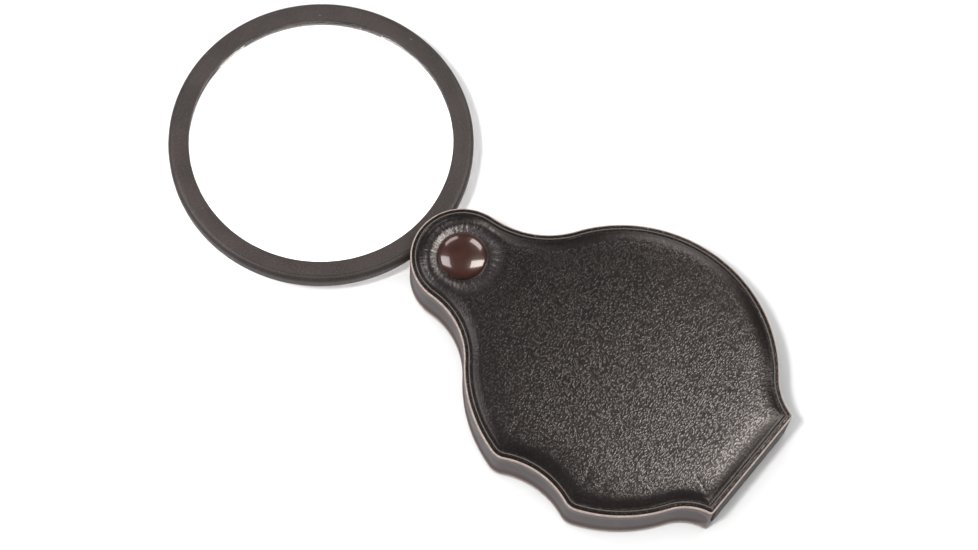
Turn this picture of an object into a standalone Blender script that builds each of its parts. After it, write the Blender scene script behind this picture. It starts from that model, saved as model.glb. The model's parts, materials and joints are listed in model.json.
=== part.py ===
"""Folding pocket magnifying glass, modelled as its separate pieces.

The frame is in metres: the origin is under the middle of the case, on the plane it rests on. +X runs along
the case from the rivet to the straight tail end, +Y to the side the lens swings out of, and +Z out of the
front cover. The lens is open. Sizes below are in millimetres, and angles are in degrees.
"""

import math

import bmesh
import bpy
from mathutils import Matrix, Vector

MM = 0.001

# Driving dimensions.
PIVOT = Vector((-43.04, 0.0))  # the rivet, which is also the centre of the case's small lobe
ARM = 43.09  # rivet to the middle of the lens
OPEN_ANGLE = 172.08  # direction of the lens from the rivet when open
RING_R = 34.0
RING_HOLE_R = 29.4
PLATE_SPAN = 11.74  # over the outer faces of the two boards

# Heights of the layers, from the middle of the case outwards.
MID_Z = 7.12
BOARD_OUT = PLATE_SPAN / 2
BOARD_T = 0.8
LINING_T = 0.3
STACK_GAP = 0.05
SKIN_EDGE_T = 0.3
BOARD_IN = BOARD_OUT - BOARD_T
LINING_OUT = BOARD_IN - STACK_GAP
LINING_IN = LINING_OUT - LINING_T
SKIN_IN = BOARD_OUT + STACK_GAP
SKIN_RIM = SKIN_IN + SKIN_EDGE_T
CROWN = 0.9  # the padded face stands this far above its rim
SKIN_TOP = SKIN_RIM + CROWN

# How the pad rises from its welded edge: inset from the outline, drawn-in share, height above the skin's rim.
SKIN_INSET = 0.3
PAD_INSET = 3.2
PAD_RISE = [(1.7, 0.0, 0.0), (2.2, 0.0, -0.08), (PAD_INSET, 0.05, 0.45), (PAD_INSET, 0.2, 0.8)]
FLAT_SHARE = 0.4
FOAM_RISE = [(2.6, 0.0, -0.04), (PAD_INSET, 0.08, 0.08), (PAD_INSET, 0.22, 0.42)]
FOAM_TOP = 0.5
FOAM_GAP = 0.06
CUT_PAST = 2.0  # a drill runs on this far beyond the faces it cuts

# Outline of the case: circles that touch one another.
LOBE_R = 11.45
BODY_R = 32.93
OPEN_BODY = Vector((0.0, 0.0))
WALL_BODY = Vector((-1.4, -1.5))
OPEN_NECK_R = 20.2
WALL_NECK_R = 17.4
NOTCH_CENTRE = Vector((-2.04, -48.95))
NOTCH_R = 18.3
NOTCH_CORNER_R = 4.0
TAIL_TURN = -4.4  # direction the straight tail end faces
TAIL_REACH = 34.1
TAIL_HALF = 14.2
OPEN_TAIL_R = 14.0
WALL_TAIL_R = 11.0
TAIL_CORNER_R = 0.8
LEAST_CORNER_R = 0.3
CHORD_ERROR = 0.07

# Rivet and the ear that turns on it.
CAP_R = 5.5
CAP_SEAT = SKIN_RIM + 0.05
CAP_SIDE_H = 0.3
CAP_STEPS = 4
CRIMP_R = 4.0
FRONT_CAP_H = 2.1
FRONT_CAP_WALL = 0.35
FRONT_CAP_FLAT_R = 0.4
BACK_CAP_H = SKIN_TOP - CAP_SEAT  # level with the padded face, so the case rests on both
BACK_CAP_WALL = 0.25
BACK_CAP_FLAT_R = 2.2
LEAST_CAP_ROOM = 0.1  # between the dome's inner face and the crimp, at the foot
WELL_R = 5.8
WELL_BITE = 0.02  # the well is cut this far into the skin's edge level
FOAM_WELL_R = 6.6
FLANGE_R = 4.5
BACK_FLANGE_R = 4.1
FRONT_FLANGE_T = 0.45
BACK_FLANGE_T = 0.24
BARREL_PAST = 0.5  # the socket's barrel ends this far inside the front lining's hole
SHANK_R = 2.0
SOCKET_BORE_R = 2.1
SOCKET_R = 3.2
STACK_HOLE_R = 3.5
EAR_R = 7.5
EAR_HOLE_R = 3.28
EAR_HALF_T = 3.8
WASHER_R = 6.5
WASHER_HOLE_R = 3.35
WASHER_T = 0.8
WEB_START = 4.5  # from the rivet
WEB_HALF_W = 5.6
WEB_HALF_H = 1.9

# Ring, lens and retainer.
RING_HALF_T = 2.2
SHOULDER_IN = 1.15
SHOULDER_DROP = 1.35
KNEE_IN = 0.25  # the middle point of the shoulder, in from its side and up from its foot
KNEE_UP = 0.4
RING_BEVEL = 0.2
SEAT_R = 31.15
LENS_R = 30.95
LENS_CURVE_R = 163.0
LENS_EDGE_HALF = 0.7
LENS_STEPS = 4
LIP_CLEARANCE = 0.12
RETAINER_R = 31.05
RETAINER_SUNK = 0.15  # below the ring's back face

# Side wall, spine and post.
WALL_T = 1.5
LINING_INSET = 1.6  # the lining stays clear of the wall
WALL_START = 209.0  # direction from the rivet where the wall begins
WALL_HALF_H = BOARD_IN - STACK_GAP
WALL_BORDER = 0.7
WALL_RECESS = 0.25
RECESS_STEP = 0.25  # the slope from the border to the sunk face
WALL_END = 1.8  # the sunk face stops this far from each end of the wall
SPINE_OUT = 34.2
SPINE_IN = 33.55
SPINE_WALL_GAP = 2.1  # tail corner to the spine's end, on the wall side
SPINE_OPEN_GAP = 1.9
SPINE_STEPS = 6
POST_R = 0.5
POST_INSET = 0.02

ROUND_SIDES = 36
RING_SIDES = 60

COLOURS = {
    "leatherette": ((0.035, 0.031, 0.030), 0.55, 0.0),
    "board_edge": ((0.42, 0.36, 0.34), 0.6, 0.0),
    "wall_plastic": ((0.34, 0.29, 0.29), 0.45, 0.0),
    "foam": ((0.55, 0.53, 0.48), 0.95, 0.0),
    "lining": ((0.05, 0.045, 0.045), 0.7, 0.0),
    "cap_enamel": ((0.075, 0.026, 0.020), 0.12, 0.0),
    "rivet_steel": ((0.62, 0.61, 0.60), 0.3, 1.0),
    "washer_nylon": ((0.80, 0.78, 0.72), 0.5, 0.0),
    "ring_plastic": ((0.085, 0.072, 0.070), 0.5, 0.0),
    "lens_clear": ((0.95, 0.97, 0.98), 0.02, 0.0),
}


def clear_scene():
    for obj in list(bpy.data.objects):
        bpy.data.objects.remove(obj, do_unlink=True)


def material(name):
    found = bpy.data.materials.get(name)
    if found:
        return found
    colour, roughness, metallic = COLOURS[name]
    made = bpy.data.materials.new(name)
    made.use_nodes = True
    shader = made.node_tree.nodes["Principled BSDF"]
    shader.inputs["Base Color"].default_value = (*colour, 1.0)
    shader.inputs["Roughness"].default_value = roughness
    shader.inputs["Metallic"].default_value = metallic
    return made


# ---- plane geometry of the outline ----


def polar(radius, degrees):
    angle = math.radians(degrees)
    return Vector((radius * math.cos(angle), radius * math.sin(angle)))


def heading(vector):
    return math.atan2(vector.y, vector.x)


def meet(centre_a, radius_a, centre_b, radius_b, side):
    """The crossing of two circles that lies left (side 1) or right (side -1) of the line from a to b."""
    line = centre_b - centre_a
    along = (radius_a**2 - radius_b**2 + line.length_squared) / (2 * line.length)
    across = math.sqrt(radius_a**2 - along**2)
    unit = line.normalized()
    return centre_a + unit * along + Vector((-unit.y, unit.x)) * across * side


TAIL_NORMAL = polar(1.0, TAIL_TURN)
TAIL_ALONG = polar(1.0, TAIL_TURN + 90.0)
OPEN_NECK = meet(PIVOT, LOBE_R + OPEN_NECK_R, OPEN_BODY, BODY_R + OPEN_NECK_R, 1)
WALL_NECK = meet(PIVOT, LOBE_R + WALL_NECK_R, WALL_BODY, BODY_R + WALL_NECK_R, -1)
NOTCH_LEFT = meet(WALL_BODY, BODY_R - NOTCH_CORNER_R, NOTCH_CENTRE, NOTCH_R + NOTCH_CORNER_R, -1)
NOTCH_RIGHT = meet(WALL_BODY, BODY_R - NOTCH_CORNER_R, NOTCH_CENTRE, NOTCH_R + NOTCH_CORNER_R, 1)


def tail_point(reach, along):
    return TAIL_NORMAL * reach + TAIL_ALONG * along


OPEN_TAIL = meet(OPEN_BODY, BODY_R + OPEN_TAIL_R, tail_point(TAIL_REACH, TAIL_HALF), OPEN_TAIL_R, 1)
WALL_TAIL = meet(WALL_BODY, BODY_R + WALL_TAIL_R, tail_point(TAIL_REACH, -TAIL_HALF), WALL_TAIL_R, -1)


def tail_corner(fillet, fillet_r, side, inset):
    """Centre and radius of the small circle that rounds a tail corner, on an outline moved in by inset."""
    radius = max(TAIL_CORNER_R - inset, LEAST_CORNER_R)
    reach = TAIL_REACH - inset - radius
    across = reach - fillet.dot(TAIL_NORMAL)
    span = math.sqrt((fillet_r + inset + radius) ** 2 - across**2)
    return tail_point(reach, fillet.dot(TAIL_ALONG) - side * span), radius


def circles(inset):
    """The outline's circles with the case on their left: centre, radius, and 1 for an outward bulge."""
    wall_corner, wall_corner_r = tail_corner(WALL_TAIL, WALL_TAIL_R, -1, inset)
    open_corner, open_corner_r = tail_corner(OPEN_TAIL, OPEN_TAIL_R, 1, inset)
    return [
        (open_corner, open_corner_r, 1),
        (OPEN_TAIL, OPEN_TAIL_R + inset, -1),
        (OPEN_BODY, BODY_R - inset, 1),
        (OPEN_NECK, OPEN_NECK_R + inset, -1),
        (PIVOT, LOBE_R - inset, 1),
        (WALL_NECK, WALL_NECK_R + inset, -1),
        (WALL_BODY, BODY_R - inset, 1),
        (NOTCH_LEFT, NOTCH_CORNER_R - inset, 1),
        (NOTCH_CENTRE, NOTCH_R + inset, -1),
        (NOTCH_RIGHT, NOTCH_CORNER_R - inset, 1),
        (WALL_BODY, BODY_R - inset, 1),
        (WALL_TAIL, WALL_TAIL_R + inset, -1),
        (wall_corner, wall_corner_r, 1),
    ]


def touch(a, b):
    """The point where two neighbouring circles touch."""
    if a[2] == b[2]:
        big, small = (a, b) if a[1] > b[1] else (b, a)
        return big[0] + (small[0] - big[0]).normalized() * big[1]
    return a[0] + (b[0] - a[0]).normalized() * a[1]


def arc_angles(chain):
    """First and last angle of each circle's arc, in radians, the last one unwrapped in the arc's own turn."""
    joins = [chain[0][0] + TAIL_NORMAL * chain[0][1]]
    joins += [touch(a, b) for a, b in zip(chain, chain[1:])]
    joins.append(chain[-1][0] + TAIL_NORMAL * chain[-1][1])
    angles = []
    for (centre, _, turn), first, last in zip(chain, joins, joins[1:]):
        start, end = heading(first - centre), heading(last - centre)
        angles.append((start, start + turn * ((end - start) * turn % math.tau)))
    return angles


def steps_of(radius, sweep):
    step = 2 * math.acos(1 - CHORD_ERROR / max(radius, 0.5))
    return max(2, math.ceil(abs(sweep) / step))


BASE = circles(0.0)
STEPS = [steps_of(radius, end - start) for (_, radius, _), (start, end) in zip(BASE, arc_angles(BASE))]


def outline(inset):
    """Points round the case, moved in by inset. A point keeps its place in the list at every inset."""
    chain = circles(inset)
    points = []
    for (centre, radius, _), (start, end), steps in zip(chain, arc_angles(chain), STEPS):
        # Neighbouring arcs share a point, so each one leaves out its last, apart from the last arc.
        for index in range(steps):
            angle = start + (end - start) * index / steps
            points.append(centre + Vector((math.cos(angle), math.sin(angle))) * radius)
    points.append(chain[-1][0] + TAIL_NORMAL * chain[-1][1])
    return points


def spine_of(point):
    """The nearest point of the line from the rivet to the middle of the case, for drawing the outline in."""
    return Vector((min(max(point.x, PIVOT.x), 0.0), 0.0))


def drawn_in(inset, share):
    """The outline moved in by inset and then drawn towards the case's middle line by a share of the way."""
    return [point.lerp(spine_of(point), share) for point in outline(inset)]


# ---- mesh helpers ----


def finish(name, bm, slot, sharp=35.0):
    bmesh.ops.recalc_face_normals(bm, faces=bm.faces)
    if bm.calc_volume(signed=True) < 0:
        bmesh.ops.reverse_faces(bm, faces=bm.faces)
    mesh = bpy.data.meshes.new(name)
    bm.to_mesh(mesh)
    bm.free()
    mesh.shade_smooth()
    mesh.set_sharp_from_angle(angle=math.radians(sharp))
    mesh.materials.append(material(slot))
    obj = bpy.data.objects.new(name, mesh)
    bpy.context.scene.collection.objects.link(obj)
    return obj


def place(point, height, face):
    """A point of the plan at a height from the mid plane, on the front (face 1) or the back (face -1)."""
    return Vector((point.x, point.y, MID_Z + face * height)) * MM


def bridge(bm, loop_a, loop_b, closed=True):
    count = len(loop_a)
    for index in range(count if closed else count - 1):
        after = (index + 1) % count
        bm.faces.new((loop_a[index], loop_a[after], loop_b[after], loop_b[index]))


def loft(name, loops, slot, face=1):
    """A closed solid through loops of (points, height), with a flat lid on the first and the last."""
    bm = bmesh.new()
    rings = [[bm.verts.new(place(point, height, face)) for point in points] for points, height in loops]
    for ring_a, ring_b in zip(rings, rings[1:]):
        bridge(bm, ring_a, ring_b)
    bm.faces.new(rings[0])
    bm.faces.new(rings[-1])
    return finish(name, bm, slot)


def turned(name, profile, centre, slot, face=1, sides=ROUND_SIDES):
    """A solid of revolution. The profile is a closed list of (radius, height from the mid plane)."""
    bm = bmesh.new()
    rings = []
    for radius, height in profile:
        if radius < 1e-6:
            rings.append([bm.verts.new(place(centre, height, face))])
            continue
        ring = [centre + polar(radius, 360.0 * index / sides) for index in range(sides)]
        rings.append([bm.verts.new(place(point, height, face)) for point in ring])
    for ring_a, ring_b in zip(rings, rings[1:] + rings[:1]):
        if len(ring_a) == 1 and len(ring_b) == 1:
            continue
        if len(ring_a) > 1 and len(ring_b) > 1:
            bridge(bm, ring_a, ring_b)
            continue
        tip, ring = (ring_a[0], ring_b) if len(ring_a) == 1 else (ring_b[0], ring_a)
        for index in range(sides):
            bm.faces.new((tip, ring[index], ring[(index + 1) % sides]))
    return finish(name, bm, slot)


def tube(inner, outer, low, high):
    return [(inner, low), (outer, low), (outer, high), (inner, high)]


def helper(obj):
    obj.hide_render = True
    obj.display_type = "WIRE"
    return obj


def boolean(obj, other, operation="DIFFERENCE"):
    modifier = obj.modifiers.new(operation.lower(), "BOOLEAN")
    modifier.operation = operation
    modifier.solver = "EXACT"
    modifier.object = other


def drill(obj, radius, low, high, face=1):
    """Cuts a round hole through obj at the rivet, from low to high above the mid plane."""
    profile = [(0.0, low), (radius, low), (radius, high), (0.0, high)]
    boolean(obj, helper(turned(f"{obj.name}_drill_{len(obj.modifiers)}", profile, PIVOT, "foam", face)))


# ---- covers ----

def foam_loops(grow):
    """The foam's loops, or with grow the slightly larger hollow that the skin leaves for it."""
    loops = [(drawn_in(FOAM_RISE[0][0] - grow, 0.0), SKIN_IN - grow)]
    for inset, share, rise in FOAM_RISE:
        loops.append((drawn_in(inset - grow, share), SKIN_RIM + rise + grow))
    loops.append((drawn_in(PAD_INSET - grow, FLAT_SHARE), SKIN_RIM + FOAM_TOP + grow))
    return loops


def skin(side, face):
    loops = [(outline(SKIN_INSET), SKIN_IN), (outline(SKIN_INSET), SKIN_RIM)]
    loops += [(drawn_in(inset, share), SKIN_RIM + rise) for inset, share, rise in PAD_RISE]
    loops.append((drawn_in(PAD_INSET, FLAT_SHARE), SKIN_TOP))
    obj = loft(f"{side}_skin", loops, "leatherette", face)
    hollow = helper(loft(f"{side}_skin_hollow", foam_loops(FOAM_GAP), "foam", face))
    drill(hollow, FOAM_WELL_R - FOAM_GAP, SKIN_IN - CUT_PAST, SKIN_TOP + CUT_PAST, face)
    boolean(obj, hollow)
    drill(obj, WELL_R, SKIN_RIM - WELL_BITE, SKIN_TOP + CUT_PAST, face)
    drill(obj, STACK_HOLE_R, SKIN_IN - CUT_PAST, SKIN_TOP + CUT_PAST, face)
    return obj


def foam(side, face):
    obj = loft(f"{side}_foam", foam_loops(0.0), "foam", face)
    drill(obj, FOAM_WELL_R, SKIN_IN - CUT_PAST, SKIN_TOP + CUT_PAST, face)
    return obj


def plate(name, inset, low, high, slot, face):
    obj = loft(name, [(outline(inset), low), (outline(inset), high)], slot, face)
    drill(obj, STACK_HOLE_R, low - CUT_PAST, high + CUT_PAST, face)
    return obj


def covers():
    for side, face in (("front", 1), ("back", -1)):
        skin(side, face)
        foam(side, face)
        plate(f"{side}_board", 0.0, BOARD_IN, BOARD_OUT, "board_edge", face)
        plate(f"{side}_lining", LINING_INSET, LINING_IN, LINING_OUT, "lining", face)


# ---- side wall, post and spine ----


def wall_profile(recess):
    """The wall's section as (inset, height from the mid plane), with its outer face sunk by recess."""
    top, border = WALL_HALF_H, WALL_HALF_H - WALL_BORDER
    sunk = border - RECESS_STEP
    return [
        (0.0, -top),
        (0.0, -border),
        (recess, -sunk),
        (recess, sunk),
        (0.0, border),
        (0.0, top),
        (WALL_T, top),
        (WALL_T, -top),
    ]


def side_wall():
    base = outline(0.0)
    lobe_start = sum(STEPS[:4])
    first = next(
        index
        for index in range(lobe_start, len(base))
        if math.degrees(heading(base[index] - PIVOT)) % 360.0 >= WALL_START
    )
    indices = range(first, len(base))
    insets = {0.0: base, WALL_T: outline(WALL_T), WALL_RECESS: outline(WALL_RECESS)}
    bm = bmesh.new()
    sections = []
    for index in indices:
        from_end = min((base[index] - base[first]).length, (base[index] - base[-1]).length)
        recess = WALL_RECESS if from_end > WALL_END else 0.0
        section = []
        for (inset, height), (flat_inset, _) in zip(wall_profile(recess), wall_profile(0.0)):
            point = insets[inset if recess else flat_inset][index]
            section.append(bm.verts.new(place(point, height, 1)))
        sections.append(section)
    for section_a, section_b in zip(sections, sections[1:]):
        bridge(bm, section_a, section_b)
    bm.faces.new(sections[0])
    bm.faces.new(sections[-1])
    return finish("side_wall", bm, "wall_plastic")


def corner_post():
    """A round post that just fits into the open tail corner, outside the lens's swing."""
    corner = tail_point(TAIL_REACH, TAIL_HALF)
    to_fillet = (OPEN_TAIL - corner).normalized()
    flank = Vector((-to_fillet.y, to_fillet.x))
    inward = (flank - TAIL_ALONG).normalized()
    centre = corner + inward * (POST_R / math.sin(flank.angle(-TAIL_ALONG) / 2) + POST_INSET)
    profile = [(0.0, -WALL_HALF_H), (POST_R, -WALL_HALF_H), (POST_R, WALL_HALF_H), (0.0, WALL_HALF_H)]
    return turned("corner_post", profile, centre, "wall_plastic", sides=16)


def spine_strip():
    """A flat strip with rounded upright edges, just inside the tail edge."""
    low, high = SPINE_WALL_GAP - TAIL_HALF, TAIL_HALF - SPINE_OPEN_GAP
    middle, radius = (SPINE_IN + SPINE_OUT) / 2, (SPINE_OUT - SPINE_IN) / 2
    points = []
    for end, start in ((high - radius, 0.0), (low + radius, 180.0)):
        for index in range(SPINE_STEPS + 1):
            turn = polar(radius, TAIL_TURN + start + 180.0 * index / SPINE_STEPS)
            points.append(tail_point(middle, end) + turn)
    loops = [(points, -WALL_HALF_H), (points, WALL_HALF_H)]
    return loft("spine_strip", loops, "leatherette")


# ---- rivet ----


def cap(name, face, height, wall, flat_r):
    """A domed shell, crimped in under the flange that it hides. It is flat on top within flat_r."""
    dome = []
    for index in range(CAP_STEPS + 1):
        turn = math.pi / 2 * index / CAP_STEPS
        level = CAP_SEAT + CAP_SIDE_H + (height - CAP_SIDE_H) * math.cos(turn)
        dome.append((flat_r + (CAP_R - flat_r) * math.sin(turn), level))
    crimp = CAP_SEAT + wall / 2
    shrink = (CAP_R - wall) / CAP_R
    profile = [(0.0, CAP_SEAT + height), *dome, (CAP_R, CAP_SEAT), (CRIMP_R, CAP_SEAT)]
    profile += [(CRIMP_R, crimp), (CAP_R - wall, crimp)]
    lowest = crimp + LEAST_CAP_ROOM
    profile += [(radius * shrink, max(level - wall, lowest)) for radius, level in reversed(dome)]
    profile.append((0.0, CAP_SEAT + height - wall))
    return turned(name, profile, PIVOT, "cap_enamel", face)


def rivet():
    cap("front_cap", 1, FRONT_CAP_H, FRONT_CAP_WALL, FRONT_CAP_FLAT_R)
    cap("back_cap", -1, BACK_CAP_H, BACK_CAP_WALL, BACK_CAP_FLAT_R)
    low = CAP_SEAT + FRONT_CAP_WALL / 2 + STACK_GAP
    high = low + FRONT_FLANGE_T
    post = [(0.0, high), (FLANGE_R, high), (FLANGE_R, low), (SHANK_R, low)]
    post += [(SHANK_R, -CAP_SEAT), (0.0, -CAP_SEAT)]
    turned("rivet_post", post, PIVOT, "rivet_steel")
    low = CAP_SEAT + BACK_CAP_WALL / 2 + STACK_GAP
    high = low + BACK_FLANGE_T
    end = -(LINING_IN + BARREL_PAST)
    socket = [(SOCKET_BORE_R, high), (BACK_FLANGE_R, high), (BACK_FLANGE_R, low)]
    socket += [(SOCKET_R, low), (SOCKET_R, end), (SOCKET_BORE_R, end)]
    turned("rivet_socket", socket, PIVOT, "rivet_steel", -1)
    for side, face in (("front", 1), ("back", -1)):
        high = LINING_IN - STACK_GAP
        ring = tube(WASHER_HOLE_R, WASHER_R, high - WASHER_T, high)
        turned(f"{side}_washer", ring, PIVOT, "washer_nylon", face)


# ---- lens ----

LENS_AT = PIVOT + polar(ARM, OPEN_ANGLE)


def sag(radius):
    return LENS_CURVE_R - math.sqrt(LENS_CURVE_R**2 - radius**2)


def lens_height(radius):
    return LENS_EDGE_HALF + sag(LENS_R) - sag(radius)


def lens():
    radii = [LENS_R * index / LENS_STEPS for index in range(LENS_STEPS + 1)]
    front = [(radius, lens_height(radius)) for radius in radii]
    back = [(radius, -height) for radius, height in reversed(front)]
    return turned("lens", front + back, LENS_AT, "lens_clear", sides=RING_SIDES)


def lens_frame():
    lip = lens_height(RING_HOLE_R) + LIP_CLEARANCE
    face_r, side_h = RING_R - SHOULDER_IN, RING_HALF_T - SHOULDER_DROP
    section = [(RING_HOLE_R, lip), (SEAT_R, lip), (SEAT_R, -RING_HALF_T), (face_r, -RING_HALF_T)]
    knee_r, knee_h = RING_R - KNEE_IN, side_h + KNEE_UP
    section += [(knee_r, -knee_h), (RING_R, -side_h), (RING_R, side_h), (knee_r, knee_h)]
    section += [(face_r, RING_HALF_T), (RING_HOLE_R + RING_BEVEL, RING_HALF_T)]
    section.append((RING_HOLE_R, RING_HALF_T - RING_BEVEL))
    obj = turned("lens_frame", section, LENS_AT, "ring_plastic", sides=RING_SIDES)
    hub = [(0.0, -EAR_HALF_T), (EAR_R, -EAR_HALF_T), (EAR_R, EAR_HALF_T), (0.0, EAR_HALF_T)]
    boolean(obj, helper(turned("ear_hub", hub, PIVOT, "ring_plastic")), "UNION")
    along = polar(1.0, OPEN_ANGLE)
    across = Vector((-along.y, along.x))
    near, far = WEB_START, ARM - (SEAT_R + RING_R) / 2
    corners = [
        PIVOT + along * near - across * WEB_HALF_W,
        PIVOT + along * far - across * WEB_HALF_W,
        PIVOT + along * far + across * WEB_HALF_W,
        PIVOT + along * near + across * WEB_HALF_W,
    ]
    web = helper(loft("ear_web", [(corners, -WEB_HALF_H), (corners, WEB_HALF_H)], "ring_plastic"))
    boolean(obj, web, "UNION")
    drill(obj, EAR_HOLE_R, -EAR_HALF_T - CUT_PAST, EAR_HALF_T + CUT_PAST)
    return obj


def lens_retainer():
    high = -(lens_height(RING_HOLE_R) + LIP_CLEARANCE)
    ring = tube(RING_HOLE_R, RETAINER_R, RETAINER_SUNK - RING_HALF_T, high)
    return turned("lens_retainer", ring, LENS_AT, "ring_plastic", sides=RING_SIDES)


def ride_on_pivot(pieces):
    """Parents the swinging pieces to an empty on the rivet's axis, without moving them."""
    pivot = bpy.data.objects.new("lens_pivot", None)
    pivot.location = Vector((PIVOT.x, PIVOT.y, MID_Z)) * MM
    bpy.context.scene.collection.objects.link(pivot)
    for piece in pieces:
        piece.parent = pivot
        piece.matrix_parent_inverse = Matrix.Translation(-pivot.location)


clear_scene()
covers()
side_wall()
corner_post()
spine_strip()
rivet()
ride_on_pivot([lens_frame(), lens(), lens_retainer()])
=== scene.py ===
"""Looks of the folding pocket magnifying glass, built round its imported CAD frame.

Work is in millimetres in the row frame and is scaled to metres as each mesh is made. Most CAD nodes are
replaced by a finely shaped piece of the same size. The linings, washers, rivet parts and corner post keep
their CAD mesh.
"""

import json
import math

import bpy
import numpy as np
from mathutils import Matrix, Vector
from mathutils.kdtree import KDTree

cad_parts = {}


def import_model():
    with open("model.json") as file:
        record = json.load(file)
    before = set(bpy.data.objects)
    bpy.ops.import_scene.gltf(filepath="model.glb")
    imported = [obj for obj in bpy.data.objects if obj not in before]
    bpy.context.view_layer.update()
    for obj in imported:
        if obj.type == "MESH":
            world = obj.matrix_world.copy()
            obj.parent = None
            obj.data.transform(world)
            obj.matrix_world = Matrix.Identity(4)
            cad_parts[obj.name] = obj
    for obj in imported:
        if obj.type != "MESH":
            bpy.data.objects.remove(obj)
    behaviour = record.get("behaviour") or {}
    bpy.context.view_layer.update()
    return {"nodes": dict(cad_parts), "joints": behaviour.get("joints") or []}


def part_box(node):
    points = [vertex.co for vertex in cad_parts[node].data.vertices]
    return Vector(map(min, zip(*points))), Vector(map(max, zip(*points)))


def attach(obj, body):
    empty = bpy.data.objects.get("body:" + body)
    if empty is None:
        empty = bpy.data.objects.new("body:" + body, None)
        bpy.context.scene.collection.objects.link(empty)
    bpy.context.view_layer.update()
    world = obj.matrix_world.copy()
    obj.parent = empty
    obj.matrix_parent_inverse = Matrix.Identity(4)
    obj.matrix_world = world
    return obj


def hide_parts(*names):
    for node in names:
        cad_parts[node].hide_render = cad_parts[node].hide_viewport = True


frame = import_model()

MM = 0.001

# ---- sizes read from the frame ----


def box_mm(node):
    low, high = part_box(node)
    return np.array(low) / MM, np.array(high) / MM


def middle(node):
    low, high = box_mm(node)
    return (low + high) / 2


PIVOT = np.array(frame["joints"][0]["pos_m"]) / MM
MID_Z = float(PIVOT[2])
PIVOT = PIVOT[:2]
BOARD_OUT = float(box_mm("front_board")[1][2]) - MID_Z
BOARD_IN = float(box_mm("front_board")[0][2]) - MID_Z
SKIN_IN = float(box_mm("front_skin")[0][2]) - MID_Z
SKIN_TOP = float(box_mm("front_skin")[1][2]) - MID_Z
CAP_SEAT = float(box_mm("front_cap")[0][2]) - MID_Z
CAP_R = float(np.ptp(box_mm("front_cap"), axis=0)[0]) / 2
FRONT_CAP_H = float(np.ptp(box_mm("front_cap"), axis=0)[2])
BACK_CAP_H = float(np.ptp(box_mm("back_cap"), axis=0)[2])
WALL_HALF_H = float(np.ptp(box_mm("side_wall"), axis=0)[2]) / 2
LENS_AT = middle("lens")[:2]
LENS_R = float(np.ptp(box_mm("lens"), axis=0)[1]) / 2
LENS_HALF_T = float(np.ptp(box_mm("lens"), axis=0)[2]) / 2
RETAINER_R = float(np.ptp(box_mm("lens_retainer"), axis=0)[1]) / 2
RETAINER_LOW, RETAINER_HIGH = (float(corner[2]) - MID_Z for corner in box_mm("lens_retainer"))
RING_R = float(box_mm("lens_frame")[1][1]) - float(LENS_AT[1])

# ---- sizes of the design, in millimetres and degrees ----

# Outline of the case: circles that touch one another.
LOBE_R = 11.45
BODY_R = 32.93
OPEN_BODY = np.array([0.0, 0.0])
WALL_BODY = np.array([-1.4, -1.5])
OPEN_NECK_R = 20.2
WALL_NECK_R = 17.4
NOTCH_CENTRE = np.array([-2.04, -48.95])
NOTCH_R = 18.3
NOTCH_CORNER_R = 4.0
TAIL_TURN = -4.4
TAIL_REACH = 34.1
TAIL_HALF = 14.2
OPEN_TAIL_R = 14.0
WALL_TAIL_R = 11.0
TAIL_CORNER_R = 0.8
LEAST_CORNER_R = 0.3
POINT_STEP = 0.5

# Cover: a welded border, a channel inside it, and a pad that rises from the channel and dips at the rivet.
SKIN_T = 0.3
RIM = SKIN_IN + SKIN_T
CROWN = SKIN_TOP - RIM
RIM_ROUND = 0.1
EDGE_DROP = 0.22
BEAD_AT = 1.12
# Half width of the light line painted along the bead as a highlight.
BEAD_HALF = 0.12
BEAD_H = 0.13
BEAD_SHARPNESS = 1.5
BEAD_HIGHLIGHT_HALF = 0.1
CHANNEL_FROM = 1.24
CHANNEL_TO = 1.85
CHANNEL_DEPTH = 0.15
WELD_PAST = 0.3
CHANNEL_WALL_OUT = 0.25
CHANNEL_WALL_IN = 0.35
UNDER_INSET = 2.3
EDGE_RINGS = (0.3, 0.3, 0.34, 0.42, 0.55, 0.7, 0.82, 0.92, 1.0, 1.04, 1.08, 1.12, 1.16, 1.2, 1.24)
EDGE_RINGS += (1.31, 1.42, 1.6, 2.15, UNDER_INSET, 2.45, 2.6, 2.8, 3.0, 3.2)
UNDER_STEP = 4
INNER_RINGS = 48
LAST_SHARE = 0.985
INNER_CROWDING = 1.05
INNER_SHARES = LAST_SHARE * (np.arange(1, INNER_RINGS + 1) / INNER_RINGS) ** INNER_CROWDING
RISE_REACH = 2.75
TURN_OVER = 0.14
FLAT_SHARE = 0.84
DOME_REACH = 5.5
SOFTENING = 1.1
SOFT_FADE = 1.2
SOFT_REACH, SOFT_SAMPLES = 40.0, 161
SOFT_SPAN = 30.0
SOFT_BATCH = 2000
PULL_FROM, PULL_TO = 2.2, 5.0
PULL_SHARE = 0.85

# Cloth that fills the pads out, worked at a cushion's scale.
CLOTH_ROW_STEP = 3
CLOTH_COLUMN_STEP = 4
CLOTH_SCALE = 6.0
CLOTH_PRESSURE = 4.0
CLOTH_STIFFNESS = 60.0
CLOTH_FRAMES = 20
SWELL = 0.13
SWELL_FROM = 16.0
START_SHARE = 0.89

DIMPLE_R = 5.7
DIMPLE_RIM_R = 7.7
DIMPLE_SPREAD = 2.8
DIMPLE_EASE = 0.3
STACK_HOLE_R = 3.5
PUCKERS = 34
PUCKER_H = 0.07
WOBBLE_PEAK = 3.2
PUCKER_AT = 6.8
PUCKER_HALF = 1.0
RUCK_FROM, RUCK_TO = 7.2, 10.0
HELD_PAST_DIMPLE = 1

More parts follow.
